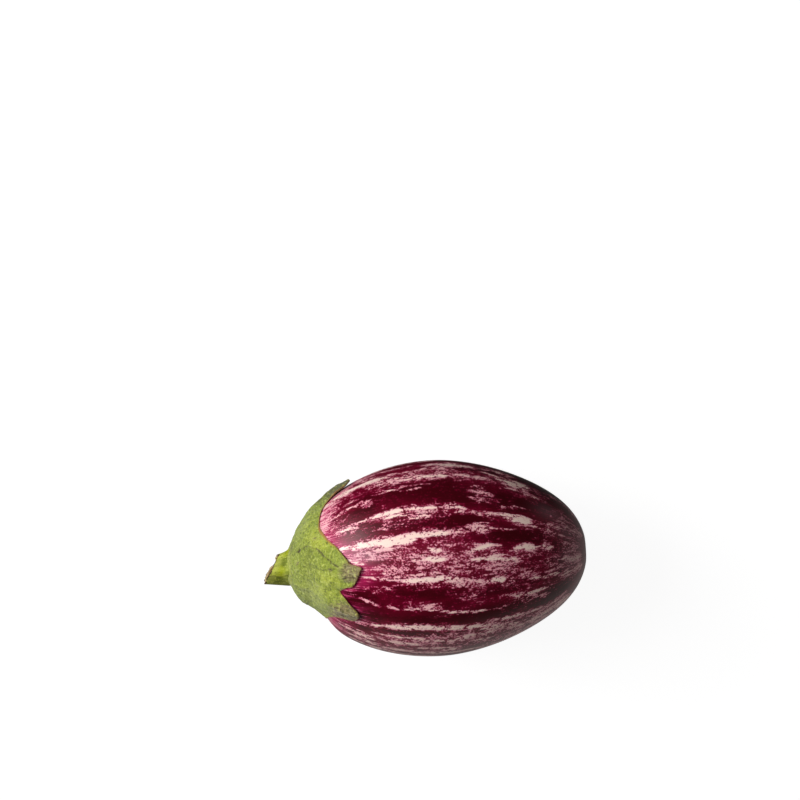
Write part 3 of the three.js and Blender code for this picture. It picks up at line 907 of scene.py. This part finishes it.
def stemFinish():
    # Bright on the ridges, with painted shade as darker olive in the grooves, paler towards the cut, and with
    # painted shade underneath. The cut has a thin dark edge round pale pith with a brown heart.
    stalk = Finish("ribbed stalk")
    noise = stalk.noises(stemGrains)
    threads, fine = noise["threads"], noise["fine"]
    toCut = stalk.field("toCut")
    faceShare = stalk.field("faceShare")
    crest = stalk.plus(stalk.field("crest"), (noise["clouds"], 1.6))
    specks = stalk.plus(threads, (fine, 1.2))
    bark = stalk.plus(toCut, (threads, 0.8), (fine, 0.9))

    colour = stemColours["bright"]
    for share, name in [
        # painted shade: the grooves darker olive
        (stalk.range(crest, 0.15, 0.75, 1.0, 0.0), "grooveShade"),
        (stalk.range(toCut, 3.8, 5.6, 0.0, 0.9), "leaf"),
        (stalk.range(toCut, 1.0, 3.5, 0.6, 0.0), "pale"),
        # painted shade on the side underneath
        (stalk.math("MULTIPLY", stalk.field("under"), 0.8), "under"),
        (stalk.range(specks, 0.06, 0.26, 0.0, 0.85), "pale"),
        (stalk.range(specks, -0.26, -0.06, 0.85, 0.0), "under"),
        (stalk.range(bark, 0.15, 0.5, 1.0, 0.0), "bark"),
    ]:
        colour = stalk.mix(share, colour, stemColours[name])
    pith = stalk.mix(stalk.range(faceShare, 0.35, 0.7, 1.0, 0.0), stemColours["pith"], stemColours["heart"])
    pith = stalk.mix(stalk.range(fine, -0.02, 0.2, 0.0, 0.6), pith, stemColours["heart"])
    pith = stalk.mix(stalk.range(faceShare, 0.86, 0.96), pith, stemColours["bark"])
    colour = stalk.mix(stalk.range(faceShare, 1.0, 1.2, 1.0, 0.0), colour, pith)
    relief = stalk.bump(stalk.plus(threads, (fine, 0.6)), *stem["bump"])
    return stalk.finish(Base_Color=colour, Roughness=stem["roughness"], Normal=relief)


stemPiece = makeStem()
stemPiece.data.materials.append(stemFinish())
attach(stemPiece, "root")
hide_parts("stem")


print("eggplant: floor, light and camera")

# The ground, in metres, and the light from all round
studio = {
    "floorSide": 6.0,
    "floorDrop": 0.0004,
    "floorColour": (0.12, 0.12, 0.12, 1),
    "floorGlow": 0.93,
    "skyStrength": 0.04,
    "horizon": (-0.1, 0.15),  # the heights between which the ground's light turns into the sky's
    "bounceColour": (1, 0.88, 0.85, 1),
    "bounceTowards": (0.5, -0.87, 0),
    "bounceRange": (-0.25, 0.6),  # how far a direction points that way
    "bounceStrength": (0.02, 0.43),  # the light off the ground at both ends of that range
}

# Soft boxes: where each stands and its side, in metres, its power, and whether it shows in the gloss
softBoxes = {
    "keyLight": ((-0.86, 0.2, 0.8), 0.6, 12.2, False),
    "topLight": ((-0.1, 0.1, 1.3), 0.6, 2.3, False),
    "sheenLight": ((-0.94, 0.48, 0.48), 0.6, 5.8, True),
}

# The camera looks straight down: its place and lens in millimetres, and its turn round the view
cameraPlan = {
    "place": (-9.10, 57.52, 1033.5),
    "turn": -3.5,
    "lens": 125,
}


def makeStudio():
    # A glowing white ground, which the gloss and the shade of the pieces don't see, and the soft boxes, each
    # turned towards the origin
    half = studio["floorSide"] / 2
    drop = -studio["floorDrop"]
    corners = [(-half, -half, drop), (half, -half, drop), (half, half, drop), (-half, half, drop)]
    mesh = bpy.data.meshes.new("floor")
    mesh.from_pydata(corners, [], [(0, 1, 2, 3)])
    floor = bpy.data.objects.new("floor", mesh)
    bpy.context.scene.collection.objects.link(floor)
    ground = Finish("white ground")
    mesh.materials.append(ground.finish(
        Base_Color=studio["floorColour"], Roughness=0.9, Emission_Color=(1, 1, 1, 1),
        Emission_Strength=studio["floorGlow"],
    ))
    floor.visible_glossy = False
    floor.visible_diffuse = False
    for name, (place, side, power, inGloss) in softBoxes.items():
        light = bpy.data.lights.new(name, "AREA")
        light.size = side
        light.energy = power
        lamp = bpy.data.objects.new(name, light)
        lamp.location = place
        lamp.rotation_euler = Vector(place).to_track_quat("Z", "Y").to_euler()
        lamp.visible_glossy = inGloss
        bpy.context.scene.collection.objects.link(lamp)


def makeWorld():
    # A dim sky over a ground that throws the light back, more of it from the side away from the lamps. The
    # strength runs straight between the ends of each range.
    world = bpy.data.worlds.new("studio")
    world.use_nodes = True
    nodes, links = world.node_tree.nodes, world.node_tree.links
    direction = nodes.new("ShaderNodeTexCoord").outputs["Generated"]
    parts = nodes.new("ShaderNodeSeparateXYZ")
    links.new(direction, parts.inputs[0])
    facing = nodes.new("ShaderNodeVectorMath")
    facing.operation = "DOT_PRODUCT"
    facing.inputs[1].default_value = studio["bounceTowards"]
    links.new(direction, facing.inputs[0])
    bounce = nodes.new("ShaderNodeMapRange")
    bounce.inputs["From Min"].default_value, bounce.inputs["From Max"].default_value = studio["bounceRange"]
    bounce.inputs["To Min"].default_value, bounce.inputs["To Max"].default_value = studio["bounceStrength"]
    links.new(facing.outputs["Value"], bounce.inputs["Value"])
    horizon = nodes.new("ShaderNodeMapRange")
    horizon.inputs["From Min"].default_value, horizon.inputs["From Max"].default_value = studio["horizon"]
    horizon.inputs["To Max"].default_value = studio["skyStrength"]
    links.new(parts.outputs["Z"], horizon.inputs["Value"])
    links.new(bounce.outputs["Result"], horizon.inputs["To Min"])
    links.new(horizon.outputs["Result"], nodes["Background"].inputs["Strength"])
    nodes["Background"].inputs["Color"].default_value = studio["bounceColour"]
    return world


def makeCamera():
    camera = bpy.data.objects.new("camera", bpy.data.cameras.new("camera"))
    camera.location = [value * mm for value in cameraPlan["place"]]
    camera.rotation_euler = (0, 0, cameraPlan["turn"] * degree)
    camera.data.lens = cameraPlan["lens"]
    bpy.context.scene.collection.objects.link(camera)
    bpy.context.scene.camera = camera


makeStudio()
bpy.context.scene.world = makeWorld()
makeCamera()
bpy.context.scene.view_settings.view_transform = "Standard"
